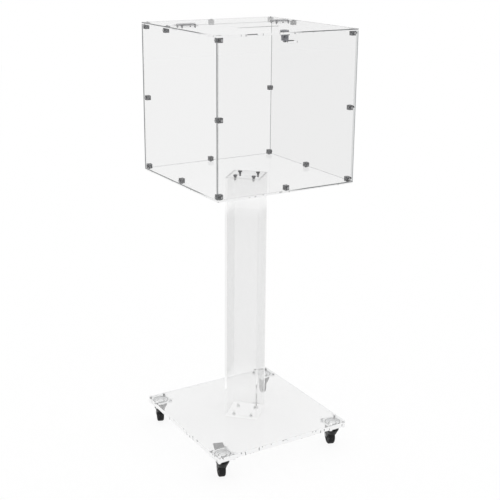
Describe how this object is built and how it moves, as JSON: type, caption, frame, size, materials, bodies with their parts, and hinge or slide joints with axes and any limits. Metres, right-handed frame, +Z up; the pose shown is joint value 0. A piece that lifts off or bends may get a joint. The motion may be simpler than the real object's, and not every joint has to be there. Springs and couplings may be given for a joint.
{
  "type": "suggestion box",
  "caption": "Clear acrylic suggestion box with a hinged, cam-locked lid and a letter slot, on a square column and a wheeled base plate.",
  "frame": {"origin": "on the floor under the column's axis, at the level of the wheels' treads", "axes": "+Z up, -Y towards the front with the lock, +X to the right seen from the front"},
  "size_m": [0.4185, 0.4657, 1.1606],
  "materials": {
    "clear_acrylic": "polished clear sheet",
    "connector_grey": "satin",
    "screw_steel": "zinc plated",
    "plated_hinge": "nickel plated",
    "lock_chrome": "chromed",
    "zinc_plate": "bright zinc plated",
    "black_nylon": "moulded",
    "black_tyre": "moulded"
  },
  "bodies": {
    "stand": {"base_plate": "clear_acrylic", "column_tube": "clear_acrylic", "column_foot_block": "clear_acrylic", "column_top_block": "clear_acrylic", "box_floor": "clear_acrylic", "front_wall": "clear_acrylic", "rear_wall": "clear_acrylic", "left_wall": "clear_acrylic", "right_wall": "clear_acrylic", "rear_strip": "clear_acrylic", "bottom_cubes": "connector_grey", "middle_cubes": "connector_grey", "top_cubes": "connector_grey", "strip_cubes": "connector_grey", "column_foot_screws": "screw_steel", "column_top_screws": "screw_steel", "hinge_fixed_leaves": "plated_hinge", "hinge_pins": "screw_steel", "hinge_fixed_screws": "screw_steel", "hinge_fixed_nuts": "screw_steel", "caster_plates": "zinc_plate", "caster_races": "zinc_plate", "caster_kingpins": "zinc_plate", "caster_bolts": "screw_steel"},
    "lid": {"lid_flap": "clear_acrylic", "hinge_moving_leaves": "plated_hinge", "hinge_moving_screws": "screw_steel", "hinge_moving_nuts": "screw_steel", "lock_housing": "lock_chrome", "lock_nut": "lock_chrome"},
    "lock_core": {"lock_plug": "lock_chrome", "lock_cam": "screw_steel", "lock_cam_screw": "screw_steel"},
    "front_left_swivel": {"front_left_fork": "black_nylon", "front_left_axle": "screw_steel", "front_left_brake_pin": "screw_steel"},
    "front_left_wheel": {"front_left_hub": "black_nylon", "front_left_tyre": "black_tyre"},
    "front_left_brake": {"front_left_brake_pedal": "black_nylon"},
    "front_right_swivel": {"front_right_fork": "black_nylon", "front_right_axle": "screw_steel"},
    "front_right_wheel": {"front_right_hub": "black_nylon", "front_right_tyre": "black_tyre"},
    "rear_left_swivel": {"rear_left_fork": "black_nylon", "rear_left_axle": "screw_steel"},
    "rear_left_wheel": {"rear_left_hub": "black_nylon", "rear_left_tyre": "black_tyre"},
    "rear_right_swivel": {"rear_right_fork": "black_nylon", "rear_right_axle": "screw_steel", "rear_right_brake_pin": "screw_steel"},
    "rear_right_wheel": {"rear_right_hub": "black_nylon", "rear_right_tyre": "black_tyre"},
    "rear_right_brake": {"rear_right_brake_pedal": "black_nylon"}
  },
  "joints": [
    {"name": "lid_hinge", "type": "hinge", "parent": "stand", "child": "lid", "pos_m": [0, 0.066, 1.158], "axis": [-1, 0, 0], "range_deg": [0, 180]},
    {"name": "lock_turn", "type": "hinge", "parent": "lid", "child": "lock_core", "pos_m": [0, -0.172, 1.14], "axis": [0, 0, 1], "range_deg": [-90, 0]},
    {"name": "front_left_swivel_turn", "type": "hinge", "parent": "stand", "child": "front_left_swivel", "pos_m": [-0.1765, -0.182, 0.06], "axis": [0, 0, 1], "continuous": true},
    {"name": "front_left_wheel_roll", "type": "hinge", "parent": "front_left_swivel", "child": "front_left_wheel", "pos_m": [-0.16898, -0.16133, 0.025], "axis": [-0.9397, 0.342, 0], "continuous": true},
    {"name": "front_left_brake_press", "type": "hinge", "parent": "front_left_swivel", "child": "front_left_brake", "pos_m": [-0.1647, -0.14958, 0.0535], "axis": [-0.9397, 0.342, 0], "range_deg": [0, 15]},
    {"name": "front_right_swivel_turn", "type": "hinge", "parent": "stand", "child": "front_right_swivel", "pos_m": [0.1765, -0.182, 0.06], "axis": [0, 0, 1], "continuous": true},
    {"name": "front_right_wheel_roll", "type": "hinge", "parent": "front_right_swivel", "child": "front_right_wheel", "pos_m": [0.18402, -0.16133, 0.025], "axis": [-0.9397, 0.342, 0], "continuous": true},
    {"name": "rear_left_swivel_turn", "type": "hinge", "parent": "stand", "child": "rear_left_swivel", "pos_m": [-0.1765, 0.182, 0.06], "axis": [0, 0, 1], "continuous": true},
    {"name": "rear_left_wheel_roll", "type": "hinge", "parent": "rear_left_swivel", "child": "rear_left_wheel", "pos_m": [-0.16898, 0.20267, 0.025], "axis": [-0.9397, 0.342, 0], "continuous": true},
    {"name": "rear_right_swivel_turn", "type": "hinge", "parent": "stand", "child": "rear_right_swivel", "pos_m": [0.1765, 0.182, 0.06], "axis": [0, 0, 1], "continuous": true},
    {"name": "rear_right_wheel_roll", "type": "hinge", "parent": "rear_right_swivel", "child": "rear_right_wheel", "pos_m": [0.18402, 0.20267, 0.025], "axis": [-0.9397, 0.342, 0], "continuous": true},
    {"name": "rear_right_brake_press", "type": "hinge", "parent": "rear_right_swivel", "child": "rear_right_brake", "pos_m": [0.1883, 0.21442, 0.0535], "axis": [-0.9397, 0.342, 0], "range_deg": [0, 15]}
  ]
}
